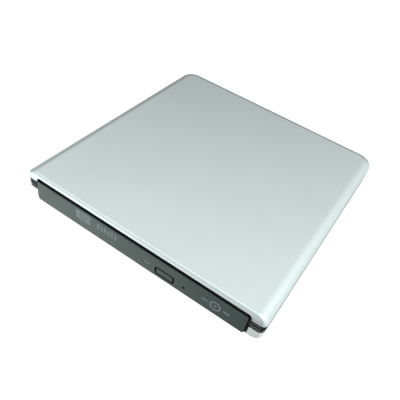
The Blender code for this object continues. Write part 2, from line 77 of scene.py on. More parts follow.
# The case, as the CAD has it
(_, RIGHT), (CASE_FRONT, CASE_BACK), (_, CASE_TOP) = span("top_shell")
CASE_BOTTOM = span("bottom_shell")[2][0]
WALL = 1.2
LOWER_RIM, UPPER_RIM = 7.5, 13.0
ROLL_SIDE, ROLL_HEIGHT, ROLL_FRONT = 6.0, 4.0, 1.3
CORNER_FRONT, CORNER_BACK = 3.0, 9.5
SHRINK_FRONT, SHRINK_BACK = 0.667, 0.632
WINDOW_HALF_WIDTH, WINDOW_BOTTOM, WINDOW_TOP, WINDOW_CORNER = 65.3, 1.9, 16.0, 2.2

# The drive
BEZEL_X, BEZEL_Y, BEZEL_Z = span("bezel")
BUTTON_Y = span("eject_button")[1]
BUTTON_HOLE = (13.3, 24.7), (4.0, 9.1)
LIGHT_SLIT = (6.0, 10.3), (6.55, 7.55)
EJECT_PIN = (30.2, 6.6)
PIN_HOLE = 0.7
FEET = [(-58, -60), (58, -60), (-58, 57.5), (58, 57.5)]
CASE_SCREWS = [(-60, 66), (60, 66)]
DRIVE_SCREWS = [(-40, -30), (40, -30)]
BOARD_SCREWS = [(-49, 70), (8, 70)]
BOARD_BOTTOM, BOARD_TOP = 7.2, 8.2
PORT_X, PORT_Z = -8.0, 9.9
SPINDLE = (0.0, -11.4)
LATCH_PIVOT, LATCH_RELEASE = (38.5, -50.0), math.radians(-15)
LOCK_POST = (46.2, -66.1)
EJECTOR = (52.5, 6.8)
TRAVERSE = Matrix.Translation((*SPINDLE, 0)) @ Matrix.Rotation(math.radians(225), 4, "Z")
UPRIGHT_TO_FLAT = Matrix(((1, 0, 0, 0), (0, 0, 1, 0), (0, 1, 0, 0), (0, 0, 0, 1)))
GUIDE_RODS = (-12.5, 13.0)
RIBS = (9.7, 11.5)
LEAD_SCREW = 18.5
SHAFT_HEIGHT = 6.95
SLED_REST = 24.5

# Camera
CAMERA_AT = (0.0838, -0.1984, 0.1903)
LOOK_AT = (0.0051, -0.0253, 0.0100)
CAMERA_UP = (-0.4794, 0.5190, 0.7077)
LENS = 42.69
SENSOR_WIDTH = 36

# Studio, in metres
FLOOR_SIZE = 6
SOFTBOX_AT, SOFTBOX_AIM = (-0.35, -0.5, 0.9), (0, 0, 0.01)
SOFTBOX_SIZE, SOFTBOX_WATTS = (0.9, 0.7), 6.0
SKY_COLOUR, SKY_BASE = (0.94, 1.0, 0.985, 1), 0.42
# Where the sky is brighter or darker: towards what, from and to which cosine, and by how much
SKY_LOBES = [
    ((0, 0, 1), 0.25, 0.9, 0.78),
    ((-0.37, -0.7, 0.6), 0.66, 1.0, 0.62),
    ((-0.37, -0.85, -0.35), 0.86, 1.0, 0.62),
    ((1, 0.02, 0.1), 0.0, 0.85, 0.8),
    ((-0.7, -0.45, -0.6), 0.76, 1.0, 1.0),
    ((-0.8, 0.45, -0.45), 0.7, 1.0, 0.45),
    ((-0.5, 0.85, 0.2), 0.8, 1.0, -0.2),
    ((0, 0.3, -0.95), 0.8, 1.0, 0.4),
]


# ---- shapes ----


def placed(name, data):
    made = bpy.data.objects.new(name, data)
    bpy.context.scene.collection.objects.link(made)
    return made


def piece(name, shape, slot, body, *nodes, sharp=35, surface=None):
    """Makes a piece of a bmesh in millimetres, which rides on a body and stands for CAD nodes."""
    bmesh.ops.scale(shape, vec=(MM, MM, MM), verts=shape.verts)
    bmesh.ops.recalc_face_normals(shape, faces=shape.faces)
    mesh = bpy.data.meshes.new(name)
    shape.to_mesh(mesh)
    shape.free()
    mesh.shade_smooth()
    mesh.set_sharp_from_angle(angle=math.radians(sharp))
    made = placed(name, mesh)
    if slot:
        mesh.materials.append((surface or SURFACES[slot]).made)
    if body:
        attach(made, body)
    if nodes:
        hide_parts(*nodes)
    return made


def mirrored(side, a, b):
    """The range from a to b, or its mirror image where side is -1."""
    return sorted((side * a, side * b))


def block(x, y, z):
    size = [high - low for low, high in (x, y, z)]
    centre = [(low + high) / 2 for low, high in (x, y, z)]
    shape = bmesh.new()
    bmesh.ops.create_cube(shape, matrix=Matrix.Translation(centre) @ Matrix.Diagonal((*size, 1)))
    return shape


def rod(radius, start, end, sides=48):
    start, end = Vector(start), Vector(end)
    turn = (end - start).to_track_quat("Z", "Y").to_matrix().to_4x4()
    shape = bmesh.new()
    bmesh.ops.create_cone(
        shape,
        cap_ends=True,
        segments=sides,
        radius1=radius,
        radius2=radius,
        depth=(end - start).length,
        matrix=Matrix.Translation((start + end) / 2) @ turn,
    )
    return shape


def turned(profile, at=(0, 0), sides=96, closed=False):
    """Turns (radius, height) points about the vertical at a point in plan."""
    shape = bmesh.new()
    rings = []
    for radius, height in profile:
        count = 1 if radius < 1e-6 else sides
        angles = [2 * math.pi * i / sides for i in range(count)]
        circle = [(at[0] + radius * math.cos(a), at[1] + radius * math.sin(a), height) for a in angles]
        rings.append([shape.verts.new(point) for point in circle])
    for first, second in zip(rings, rings[1:] + rings[:1] if closed else rings[1:]):
        for i in range(sides):
            j = (i + 1) % sides
            corners = [ring[k % len(ring)] for ring, k in ((first, i), (first, j), (second, j), (second, i))]
            unlike = list(dict.fromkeys(corners))
            if len(unlike) > 2:
                shape.faces.new(unlike)
    return shape


def loft(rings, endless=False):
    shape = bmesh.new()
    loops = [[shape.verts.new(point) for point in ring] for ring in rings]
    for lower, upper in zip(loops, loops[1:] + loops[:1] if endless else loops[1:]):
        for i in range(len(lower)):
            j = (i + 1) % len(lower)
            shape.faces.new((lower[i], lower[j], upper[j], upper[i]))
    if not endless:
        shape.faces.new(loops[0])
        shape.faces.new(loops[-1])
    return shape


def rounded(x, z, radius, steps=8):
    """A rounded rectangle, as (x, z) points anticlockwise."""
    points = []
    for centre_x, centre_z, begin in (
        (x[1] - radius, z[0] + radius, -90),
        (x[1] - radius, z[1] - radius, 0),
        (x[0] + radius, z[1] - radius, 90),
        (x[0] + radius, z[0] + radius, 180),
    ):
        for i in range(steps + 1):
            angle = math.radians(begin + 90 * i / steps)
            points.append((centre_x + radius * math.cos(angle), centre_z + radius * math.sin(angle)))
    return points


def plate(x, z, y, radius, edge=0.0, back_edge=0.0, steps=6):
    """A rounded plate that faces -Y, with its front and back edges rounded."""
    rings = []
    for rounding, end, way in ((edge, y[0], 1), (back_edge, y[1], -1)):
        ring = []
        for i in range(steps + 1 if rounding else 1):
            angle = math.pi / 2 * i / steps
            inset = rounding * (1 - math.sin(angle))
            sides = (x[0] + inset, x[1] - inset), (z[0] + inset, z[1] - inset)
            outline = rounded(*sides, max(radius - inset, 0.05))
            depth = end + way * rounding * (1 - math.cos(angle))
            ring.append([(px, depth, pz) for px, pz in outline])
        rings += ring if way > 0 else ring[::-1]
    return loft(rings)


def soften(shape, edges, width, segments):
    bmesh.ops.bevel(shape, geom=edges, offset=width, segments=segments, profile=0.5, affect="EDGES")
    return shape


def soft_block(x, y, z, edge=0.3, segments=3):
    """A block with rounded edges."""
    shape = block(x, y, z)
    return soften(shape, shape.edges[:], edge, segments)


def slot_hole(start, end, width, z):
    """A prism with round ends, for cutting or raising a long slot."""
    start, end = Vector(start), Vector(end)
    along = (end - start).normalized() if (end - start).length else Vector((1, 0))
    across = Vector((-along.y, along.x))
    outline = []
    for centre, begin in ((end, -90), (start, 90)):
        for i in range(13):
            angle = math.radians(begin + 15 * i)
            outline.append(centre + (along * math.cos(angle) + across * math.sin(angle)) * width / 2)
    return loft([[(p.x, p.y, level) for p in outline] for level in z])


def between(shape, start, end):
    """Moves a shape that stands on the origin along +Z to run from start towards end."""
    turn = (end - start).to_track_quat("Z", "Y").to_matrix().to_4x4()
    return moved(shape, Matrix.Translation(start) @ turn)


def bored_ring(outer, inner, start, end, sides=48):
    """A tube between two points."""
    start, end = Vector(start), Vector(end)
    length = (end - start).length
    profile = [(inner, 0), (outer, 0), (outer, length), (inner, length)]
    return between(turned(profile, sides=sides, closed=True), start, end)


def chamfered_rod(radius, start, end, chamfer=0.2, sides=48):
    start, end = Vector(start), Vector(end)
    length = (end - start).length
    neck = radius - chamfer
    profile = [(0, 0), (neck, 0), (radius, chamfer), (radius, length - chamfer), (neck, length), (0, length)]
    return between(turned(profile, sides=sides), start, end)


def shaft(name, node, radius, start, end, body="tray"):
    return piece(name, chamfered_rod(radius, start, end), "bright_steel", body, node)


def coil(radius, wire, start, end, turns, sides=8, steps=28):
    """A helical spring of round wire along +Y, its end turns closed up."""
    shape = bmesh.new()
    rings = []
    count = turns * steps
    flat = 0.06
    for i in range(count + 1):
        share = i / count
        angle = 2 * math.pi * turns * share
        eased = min(max((share - flat) / (1 - 2 * flat), 0), 1)
        middle = Vector((radius * math.cos(angle), start + (end - start) * eased, radius * math.sin(angle)))
        out = Vector((math.cos(angle), 0, math.sin(angle)))
        ring = []
        for k in range(sides):
            around = 2 * math.pi * k / sides
            lift = Vector((0, wire * math.sin(around), 0))
            ring.append(shape.verts.new(middle + out * wire * math.cos(around) + lift))
        rings.append(ring)
    for first, second in zip(rings, rings[1:]):
        for k in range(sides):
            m = (k + 1) % sides
            shape.faces.new((first[k], first[m], second[m], second[k]))
    shape.faces.new(rings[0])
    shape.faces.new(rings[-1])
    return shape


def moved(shape, matrix):
    bmesh.ops.transform(shape, matrix=matrix, verts=shape.verts)
    return shape


def merged(*shapes):
    """One bmesh of several shapes that don't touch."""
    whole = bmesh.new()
    for shape in shapes:
        mesh = bpy.data.meshes.new("part")
        shape.to_mesh(mesh)
        shape.free()
        whole.from_mesh(mesh)
        bpy.data.meshes.remove(mesh)
    return whole


def combine(made, operation, *shapes, sharp=35):
    """Cuts or joins shapes for good, so that only finished meshes are left."""
    tools = [piece("helper", shape, None, None) for shape in shapes]
    made.modifiers.clear()
    for tool in tools:
        step = made.modifiers.new("shape", "BOOLEAN")
        step.operation = operation
        step.solver = "EXACT"
        step.object = tool
    bpy.context.view_layer.update()
    graph = bpy.context.evaluated_depsgraph_get()
    mesh = bpy.data.meshes.new_from_object(made.evaluated_get(graph))
    made.modifiers.clear()
    made.data = mesh
    for tool in tools:
        bpy.data.objects.remove(tool, do_unlink=True)
    made.data.shade_smooth()
    made.data.set_sharp_from_angle(angle=math.radians(sharp))
    even = made.modifiers.new("normals", "WEIGHTED_NORMAL")
    even.keep_sharp = True
    return made


def cut(made, *shapes):
    return combine(made, "DIFFERENCE", *shapes)


def fuse(made, *shapes):
    return combine(made, "UNION", *shapes)


def round_edges(made, width, segments=3, angle=40):
    step = made.modifiers.new("edges", "BEVEL")
    step.width = width * MM
    step.segments = segments
    step.limit_method = "ANGLE"
    step.angle_limit = math.radians(angle)
    step.harden_normals = True
    step.use_clamp_overlap = True
    return made


# ---- materials ----


def map_range(tree, source, low, high, start, end):
    """A Map Range node that takes low..high to start..end."""
    made = tree.nodes.new("ShaderNodeMapRange")
    for name, value in (("From Min", low), ("From Max", high), ("To Min", start), ("To Max", end)):
        made.inputs[name].default_value = value
    tree.links.new(source, made.inputs["Value"])
    return made


class Finish:
    """A Principled material whose colour, roughness and bump come from procedural grain."""

    def __init__(self, name, colour, roughness, metallic=0.0, **sockets):
        self.made = bpy.data.materials.new(name)
        self.made.use_nodes = True
        self.tree = self.made.node_tree
        self.shader = self.tree.nodes["Principled BSDF"]
        self.place = self.node("ShaderNodeTexCoord").outputs["Object"]
        self.colour = (*colour, 1)
        self.set("Base Color", self.colour)
        self.roughness = roughness
        self.set("Roughness", roughness)
        self.set("Metallic", metallic)
        for socket, value in sockets.items():
            self.set(socket.replace("_", " "), value)
        self.height = None

    def set(self, socket, value):
        self.shader.inputs[socket].default_value = value

    def node(self, kind, **settings):
        made = self.tree.nodes.new(kind)
        for name, value in settings.items():
            setattr(made, name, value)
        return made

    def link(self, source, target):
        self.tree.links.new(source, target)

    def noise(self, size, detail=2.0, stretch=(1, 1, 1)):
        """Noise whose features are about size millimetres, stretched along the axes."""
        mapping = self.node("ShaderNodeMapping")
        mapping.inputs["Scale"].default_value = [1 / s for s in stretch]
        self.link(self.place, mapping.inputs["Vector"])
        noise = self.node("ShaderNodeTexNoise")
        noise.inputs["Scale"].default_value = 1 / (size * MM)
        noise.inputs["Detail"].default_value = detail
        self.link(mapping.outputs["Vector"], noise.inputs["Vector"])
        return noise.outputs["Fac"]

    def ramp(self, source, low, high, start=0.0, end=1.0):
        return map_range(self.tree, source, low, high, start, end).outputs["Result"]

    def tint(self, factor, colour):
        """Mixes a second colour over what the colour socket already gets."""
        mix = self.node("ShaderNodeMix", data_type="RGBA")
        target = self.shader.inputs["Base Color"]
        if target.links:
            self.link(target.links[0].from_socket, mix.inputs["A"])
        else:
            mix.inputs["A"].default_value = self.colour
        mix.inputs["B"].default_value = (*colour, 1)
        self.link(factor, mix.inputs["Factor"])
        self.link(mix.outputs["Result"], target)
        return self

    def mottle(self, size=18, depth=0.08, spread=0.05):
        """Slow variation: the colour darkens by depth and the roughness moves by spread."""
        slow, usual = self.noise(size, 4), (0.3, 0.7)
        self.tint(self.ramp(slow, *usual), [channel * (1 - depth) for channel in self.colour[:3]])
        rough = self.ramp(slow, *usual, self.roughness - spread, self.roughness + spread)
        self.link(rough, self.shader.inputs["Roughness"])
        return self

    def grain(self, size=0.25, height=0.01, stretch=(1, 1, 1), strength=0.3):
        """Fine relief of this size and height in millimetres."""
        bump = self.node("ShaderNodeBump")
        bump.inputs["Strength"].default_value = strength
        bump.inputs["Distance"].default_value = height * MM
        self.link(self.noise(size, 3, stretch), bump.inputs["Height"])
        if self.height:
            self.link(self.height, bump.inputs["Normal"])
        self.height = bump.outputs["Normal"]
        self.link(self.height, self.shader.inputs["Normal"])
        return self

    def worn_edges(self, colour, low=0.52, high=0.6, share=0.5):
        """Lightens convex edges, as handling does."""
        geometry = self.node("ShaderNodeNewGeometry")
        self.tint(self.ramp(geometry.outputs["Pointiness"], low, high, 0, share), colour)
        return self


def tracks(made, colour, size=1.6, lands=(0.62, 0.60, 0.45), pitch=2.1):
    """Copper tracks under the solder mask, and bare lands."""
    cells = made.node("ShaderNodeTexVoronoi", feature="DISTANCE_TO_EDGE", distance="CHEBYCHEV")
    cells.inputs["Scale"].default_value = 1 / (size * MM)
    made.link(made.place, cells.inputs["Vector"])
    made.tint(made.ramp(cells.outputs["Distance"], 0.10, 0.06), colour)
    spots = made.node("ShaderNodeTexVoronoi", feature="F1")
    spots.inputs["Scale"].default_value = 1 / (pitch * MM)
    made.link(made.place, spots.inputs["Vector"])
    made.tint(made.ramp(spots.outputs["Distance"], 0.16, 0.12), lands)
    return made


SURFACES = {
    "top_case": Finish("satin_aluminium", (0.69, 0.74, 0.74), 0.33, 1.0)
    .mottle(30, 0.03, 0.03)
    .grain(0.12, 0.004, strength=0.35),
    "base_case": Finish("pale_aluminium", (0.8, 0.825, 0.82), 0.4, 0.9)
    .mottle(30, 0.03, 0.03)
    .grain(0.14, 0.004),
    "band": Finish("band_plastic", (0.003, 0.004, 0.004), 0.34, IOR=1.36, Specular_IOR_Level=0.3)
    .mottle(12, 0.2, 0.05)
    .grain(0.2, 0.01),
    "bezel": Finish(
        "bezel_plastic",
        (0.0085, 0.0155, 0.0135),
        0.34,
        Specular_IOR_Level=0.76,
        Specular_Tint=(0.84, 1.0, 0.95, 1),
    )
    .mottle(16, 0.10, 0.04)
    .grain(0.22, 0.012, strength=0.4),
    "tray_plastic": Finish("tray_plastic", (0.02, 0.021, 0.022), 0.42)
    .mottle(20, 0.2, 0.06)
    .grain(0.3, 0.02, strength=0.5),
    "pressed_steel": Finish("plated_steel", (0.36, 0.36, 0.345), 0.36, 1.0)
    .mottle(7, 0.14, 0.07)
    .grain(0.5, 0.006, (1, 9, 1)),
    "bright_steel": Finish("bright_steel", (0.78, 0.78, 0.77), 0.2, 1.0)
    .mottle(5, 0.08, 0.06)
    .grain(0.3, 0.003, (1, 12, 1)),
    "black_steel": Finish("blackened_steel", (0.03, 0.03, 0.032), 0.34, 0.8)
    .mottle(2, 0.3, 0.08)
    .worn_edges((0.3, 0.3, 0.3)),
    "rubber": Finish("foot_rubber", (0.022, 0.022, 0.023), 0.78).mottle(3, 0.25, 0.06).grain(0.25, 0.03),
    "board": tracks(Finish("circuit_board", (0.012, 0.10, 0.035), 0.35), (0.02, 0.17, 0.06)).grain(0.8, 0.01),
    "chip": Finish("chip_epoxy", (0.018, 0.018, 0.02), 0.48).mottle(1.5, 0.2, 0.06).grain(0.1, 0.01),
    "nylon": Finish("natural_nylon", (0.72, 0.68, 0.56), 0.42, Subsurface_Weight=0.1)
    .mottle(6, 0.08)
    .grain(0.3, 0.008),
    "flex": Finish("flex_polyimide", (0.42, 0.18, 0.03), 0.28, Coat_Weight=0.4).mottle(9, 0.1),
    "clear": Finish("light_pipe", (0.5, 0.64, 0.56), 0.25).mottle(1.5, 0.06, 0.03),
    "lens": Finish("lens_glass", (0.35, 0.45, 0.75), 0.03, IOR=1.6, Transmission_Weight=0.6)
    .mottle(1, 0.05, 0.01),
}

PRINT = Finish("bezel_print", (0.10, 0.125, 0.132), 0.45).mottle(6, 0.1, 0.04).grain(0.25, 0.006)
# Near-black painted shade for the linings of holes and for the bezel's edges that the case shades.
PAINTED_SHADE = Finish("painted_shade_black", (0.001, 0.001, 0.001), 0.8, Specular_IOR_Level=0.05).grain(0.2, 0.006)
# A paler grey for the band's rib crests: a painted highlight.
RIB_HIGHLIGHT = Finish("rib_crest_highlight", (0.11, 0.122, 0.118), 0.25).mottle(8, 0.15, 0.05).grain(0.2, 0.004)
GOLD = Finish("contact_gold", (0.9, 0.66, 0.28), 0.22, 1.0).mottle(1.5, 0.1, 0.05)
COPPER = Finish("winding_copper", (0.75, 0.32, 0.14), 0.28, 1.0).mottle(1, 0.15, 0.06)
CERAMIC = Finish("ceramic", (0.42, 0.34, 0.24), 0.4).mottle(0.8, 0.3, 0.05)


def dress_cad():
    """Gives each CAD node its slot's finish, and softly broken edges to the drive's chassis, lid, traverse
    frame and rear board.
    """
    slots = {row["node"]: row["material_slot"] for row in frame["record"]["subparts"]}
    for name, node in frame["nodes"].items():
        node.data.materials.clear()
        node.data.materials.append(SURFACES[slots[name]].made)
        if name in ("drive_chassis", "drive_lid", "traverse_frame", "rear_board"):
            round_edges(node, 0.12, 2)


# ---- case ----


def case_outline(inset, z, front_inset, corner_front, corner_back):
    """The case's plan, anticlockwise from above, inset from its sides and back and from its front."""
    x = RIGHT - inset
    front, back = CASE_FRONT + front_inset, CASE_BACK - inset
    corners = [
        (x - corner_front, front + corner_front, corner_front, -90, 12),
        (x - corner_back, back - corner_back, corner_back, 0, 24),
        (corner_back - x, back - corner_back, corner_back, 90, 24),
        (corner_front - x, front + corner_front, corner_front, 180, 12),
    ]
    points = []
    for centre_x, centre_y, radius, begin, steps in corners:
        for i in range(steps + 1):
            angle = math.radians(begin + 90 * i / steps)
            points.append((centre_x + radius * math.cos(angle), centre_y + radius * math.sin(angle), z))
    return points


def half_case(rim, face, skin=0.0, lip=0.0, steps=24):
    """One half of the case as a solid pillow from its rim to its face. The lip rounds the rim's edge."""
    up = 1 if face > rim else -1
    rings = []
    for i in range(4 if lip else 0):
        angle = math.pi / 2 * i / 4
        inset = lip * (1 - math.sin(angle))
        level = rim + up * lip * (1 - math.cos(angle))
        rings.append(case_outline(inset, level, inset, CORNER_FRONT - inset, CORNER_BACK - inset))
    start = rim + up * lip if lip else rim - up
    rings.append(case_outline(skin, start, skin, CORNER_FRONT - skin, CORNER_BACK - skin))
    for i in range(steps + 1):
        angle = math.pi / 2 * i / steps
        rolled = 1 - math.cos(angle)
        rings.append(
            case_outline(
                skin + (ROLL_SIDE - skin) * rolled,
                face - up * (skin + (ROLL_HEIGHT - skin) * (1 - math.sin(angle))),
                skin + (ROLL_FRONT - skin) * rolled,
                (CORNER_FRONT - skin) * (1 - SHRINK_FRONT * rolled),
                (CORNER_BACK - skin) * (1 - SHRINK_BACK * rolled),
            )
        )
    return loft(rings)


def front_window():
    outline = rounded((-WINDOW_HALF_WIDTH, WINDOW_HALF_WIDTH), (WINDOW_BOTTOM, WINDOW_TOP), WINDOW_CORNER, 10)
    return loft([[(x, y, z) for x, z in outline] for y in (CASE_FRONT - 6, CASE_FRONT + 6)])


def case_shells():
    top = piece("top_cover", half_case(UPPER_RIM, CASE_TOP, lip=0.2), "top_case", "root", "top_shell")
    ceiling, post, pilot = CASE_TOP - WALL / 2, 2.6, 1.3
    cut(top, half_case(UPPER_RIM, CASE_TOP, WALL))
    fuse(top, *[rod(post, (*at, 8), (*at, ceiling)) for at in CASE_SCREWS])
    cut(top, *[rod(pilot, (*at, 7), (*at, 14)) for at in CASE_SCREWS], front_window())

    bottom = half_case(LOWER_RIM, CASE_BOTTOM, lip=0.2)
    bottom = piece("base_cover", bottom, "base_case", "root", "bottom_shell")
    cut(bottom, half_case(LOWER_RIM, CASE_BOTTOM, WALL))
    floor = CASE_BOTTOM + WALL / 2
    fuse(
        bottom,
        *[rod(post, (*at, floor), (*at, 7.6)) for at in CASE_SCREWS],
        *[rod(3.0, (*at, floor), (*at, 2.8)) for at in DRIVE_SCREWS],
        *[rod(2.5, (*at, floor), (*at, 6.9)) for at in BOARD_SCREWS],
    )
    seat = [(0, 8), (1.3, 8), (1.3, 2.42), (2.6, 1.12), (2.75, 0.5), (0, 0.5)]
    foot_seat = [(0, 1.2), (5.1, 1.2), (5.2, 1.1), (5.2, 0.95), (5.4, 0.5), (0, 0.5)]
    cut(
        bottom,
        *[turned(seat, at) for at in CASE_SCREWS + DRIVE_SCREWS],
        *[turned(foot_seat, at) for at in FEET],
        *[rod(1.2, (*at, 3.4), (*at, 8)) for at in BOARD_SCREWS],
        front_window(),
    )


def cross_recess(at, bottom, depth, size):
    """A cross-head driver's recess, tapering up into a screw's head from below."""
    arms = []
    for turn in (0, 90):
        rings = []
        for level, reach, half in ((bottom - 0.1, size, 0.28), (bottom + depth, size * 0.45, 0.16)):
            ring = [(reach, -half), (reach, half), (-reach, half), (-reach, -half)]
            rings.append([(x, y, level) for x, y in ring])
        place = Matrix.Translation((*at, 0)) @ Matrix.Rotation(math.radians(turn + 20), 4, "Z")
        arms.append(moved(loft(rings), place))
    return arms


def feet_and_screws():
    sole = [(0, 0.9), (4.7, 0.9), (4.88, 0.82), (4.9, 0.7), (4.9, 0.4), (4.82, 0.2), (4.62, 0.05), (4.3, 0.0)]
    sole += [(3.1, 0.0), (2.9, 0.04), (2.8, 0.18), (0, 0.22)]
    for number, at in enumerate(FEET, 1):
        piece(f"rubber_foot_{number}", turned(sole, at), "rubber", "root", f"foot_{number}")
    for kind, places, top in (("case", CASE_SCREWS, UPPER_RIM), ("drive", DRIVE_SCREWS, 3.8)):
        for number, at in enumerate(places, 1):
            profile = [(0, top), (0.8, top), (1, top - 0.2), (1, 2.3)]
            profile += [(2.12, 1.22), (2.2, 1.16), (2.18, 1.1), (0, 1.1)]
            screw = turned(profile, at, 64)
            screw = piece(f"{kind}_bolt_{number}", screw, "black_steel", "root", f"{kind}_screw_{number}")
            cut(screw, *cross_recess(at, 1.1, 1.0, 1.25))


def inside(point, depth=0.4):
    """Whether a point lies further in than the ribs' crests do."""
    x, y = abs(point.x) / MM, point.y / MM
    past_side, past_back = x - (RIGHT - CORNER_BACK), y - (CASE_BACK - CORNER_BACK)
    return (
        x < RIGHT - depth
        and CASE_FRONT + depth < y < CASE_BACK - depth
        and math.hypot(max(past_side, 0), max(past_back, 0)) < CORNER_BACK - depth
    )


def band():
    """The ribbed band between the shells, with rounded ribs and cheeks beside the bezel. The ribs' outer
    crests carry a paler painted highlight.
    """
    groove, crest, reach = 0.75, 0.15, 0.34
    profile = [(1.5, 4.9), (1.5, 7.8), (groove, 7.8)]
    for middle in RIBS:
        profile += [(groove, middle - reach - 0.06), (groove - 0.15, middle - reach)]
        for i in range(9):
            angle = math.radians(-80 + 20 * i)
            profile.append((crest + 0.3 * (1 - math.cos(angle)), middle + reach * math.sin(angle)))
        profile += [(groove - 0.15, middle + reach), (groove, middle + reach + 0.06)]
    profile += [(groove, 12.7), (1.5, 12.7), (1.5, 14.6), (3.0, 14.6), (3.0, 4.9)]
    smallest = 0.4
    rings = [
        case_outline(inset, z, inset, max(CORNER_FRONT - inset, smallest), CORNER_BACK - inset)
        for inset, z in profile
    ]
    made = piece("ribbed_band", loft(rings, endless=True), "band", "root", "midframe")
    opening = 64.2
    cut(made, block((-opening, opening), (-80, -70), (0, 20)))
    for side in (-1, 1):
        cheek = plate(mirrored(side, opening, opening + 0.8), (4.3, 14.4), (-76.15, -73.05), 0.3, 0.2)
        root = block(mirrored(side, opening + 0.4, 67.0), (-74.55, -73.05), (4.9, 14.6))
        fuse(made, cheek, root)
    fuse(made, plate((-20, 4), (7.8, 12.7), (74.3, 76.85), 0.2, 0, 0.15))
    mouth = [(70, 6.6, 1.7), (76.1, 6.6, 1.7), (76.9, 7.0, 2.1), (78, 7.0, 2.1)]
    hole = []
    for y, half_x, half_z in mouth:
        outline = rounded((PORT_X - half_x, PORT_X + half_x), (PORT_Z - half_z, PORT_Z + half_z), 0.5)
        hole.append([(x, y, z) for x, z in outline])
    cut(made, loft(hole))
    # Paint a highlight onto the outward faces of the rib crests.
    made.data.materials.append(RIB_HIGHLIGHT.made)
    for face in made.data.polygons:
        height = face.center.z / MM
        on_crest = abs(face.normal.z) < 0.75 and min(abs(height - middle) for middle in RIBS) < 0.2
        if on_crest and not inside(face.center):
            face.material_index = 1


# ---- rear bay ----


def socket_outline(inset):
    """The micro USB 3 shell's outline: a wide half and a narrow half side by side."""
    points = [(-5.4, -1.4), (5.8, -1.4), (6.2, -1.0), (6.2, 1.0), (5.8, 1.4), (2.3, 1.4)]
    points += [(1.7, 0.9), (0.9, 0.9), (0.4, 1.4), (-5.9, 1.4), (-6.2, 1.1), (-6.2, -0.5)]
    return [(PORT_X + x * (1 - inset / 6.2), PORT_Z + z * (1 - inset / 1.4)) for x, z in points]


def rear_bay():
    shell = loft([[(x, y, z) for x, z in socket_outline(0)] for y in (64.0, 76.5)])
    lengthwise = [e for e in shell.edges if abs(e.verts[0].co.y - e.verts[1].co.y) > 1]
    soften(shell, lengthwise, 0.18, 3)
    made = piece("port_shell", shell, "pressed_steel", "root", "usb_shell")
    hollow = [(63.0, 0.3), (76.2, 0.3), (76.5, 0.12), (77.5, 0.12)]
    cut(made, loft([[(x, y, z) for x, z in socket_outline(inset)] for y, inset in hollow]))
    springs = [block((PORT_X + x - 0.45, PORT_X + x + 0.45), (70, 73.5), (10.9, 12)) for x in (-3.6, 4.0)]
    cut(made, *springs)

    tongue = soft_block((PORT_X - 4.6, PORT_X + 4.6), (65.9, 75.6), (9.55, 10.1), 0.08, 2)
    made = piece("port_tongue", tongue, "band", "root", "usb_tongue")
    fuse(made, block((PORT_X - 5.3, PORT_X + 5.3), (64.4, 66.2), (9.15, 10.45)))
    pins = []
    for i in range(10):
        x = PORT_X - 4.1 + i * 0.65 + (1.1 if i > 4 else 0)
        pins.append(block((x - 0.16, x + 0.16), (66.5, 74.9), (9.5, 9.56)))
    piece("port_contacts", merged(*pins), "bright_steel", "root", surface=GOLD)

    board = block((-54, 12), (60.8, 73.5), (BOARD_BOTTOM, BOARD_TOP))
    board = piece("bridge_circuit", board, "board", "root", "bridge_board")
    cut(board, *[rod(1.2, (*at, 6), (*at, 9)) for at in BOARD_SCREWS])
    profile = [(0, 9.25), (1.2, 9.28), (1.75, 9.1), (1.9, 8.9), (1.9, 8.5), (0.9, 8.5)]
    profile += [(0.9, 4.2), (0.7, 4.0), (0, 4.0)]
    for number, (x, y) in enumerate(BOARD_SCREWS, 1):
        screw = turned(profile, (x, y), 64)
        screw = piece(f"board_bolt_{number}", screw, "bright_steel", "root", f"board_screw_{number}")
        slots = ((1.1, 0.2), (0.2, 1.1))
        cut(screw, *[block((x - a, x + a), (y - b, y + b), (8.7, 9.5)) for a, b in slots])
    piece("bridge_die", soft_block((-34, -27), (63, 70), (8.5, 9.4), 0.15), "chip", "root", "bridge_chip")
    long_parts = ((-44, 66), (-41, 66), (-24, 69), (-21, 69), (-24, 64))
    short_parts = (-38, -36, -34, -32, -22, -20)
    soldered = BOARD_TOP + 0.02
    small = [soft_block((x, x + 1.6), (y, y + 0.8), (soldered, 8.8), 0.1, 2) for x, y in long_parts]
    small += [soft_block((x, x + 0.9), (71, 72.6), (soldered, 8.6), 0.08, 2) for x in short_parts]
    piece("bridge_passives", merged(*small), "chip", "root", surface=CERAMIC)
    plug_connector("board_header", (-52, -18), (55.0, 60.5), "band", "board_connector")
    plug_connector("drive_header", (-51, -19), (47.4, 54.5), "nylon", "drive_connector")


def plug_connector(name, x, y, slot, node):
    """A low board connector: a long body with a key slot and a row of contact cavities in its top."""
    made = piece(name, soft_block(x, y, (5.8, 9.3), 0.25, 2), slot, "root", node)
    pitch, half = 1.27, 0.35
    count = int((x[1] - x[0] - 3) / pitch)
    cuts = []
    for i in range(count):
        middle = x[0] + 2 + i * pitch
        if i != count // 2:
            cuts.append(block((middle - half, middle + half), (y[0] + 1.2, y[0] + 3.2), (8.9, 9.6)))
    cut(made, merged(*cuts))


# ---- drive ----


def rails():
    for side, name in ((-1, "left"), (1, "right")):
        for made, node, x, y, z, wall, body in (
            ("fixed_guide", "outer_guide", (59.9, 62.9), (-74, 50), (4.0, 10.0), 0.6, "root"),
            ("moving_rail", "sliding_rail", (59.3, 62.0), (-74, 46), (4.9, 9.1), 0.5, f"rail_{name}"),
        ):
            channel = soft_block(mirrored(side, x[0], x[1]), y, z, 0.15, 2)
            channel = piece(f"{made}_{name}", channel, "bright_steel", body, f"{node}_{name}")
            hollow_x = mirrored(side, x[0] - 1, x[1] - wall)
            middle = (z[0] + z[1]) / 2
            through, level = mirrored(side, 58, 64), (middle - 0.7, middle + 0.7)
            starts = [y[0] + 12 + i * 22 for i in range(5)]
            holes = [block(through, (start, start + 7), level) for start in starts]
            cut(channel, block(hollow_x, (y[0] - 1, y[1] + 1), (z[0] + wall, z[1] - wall)), merged(*holes))


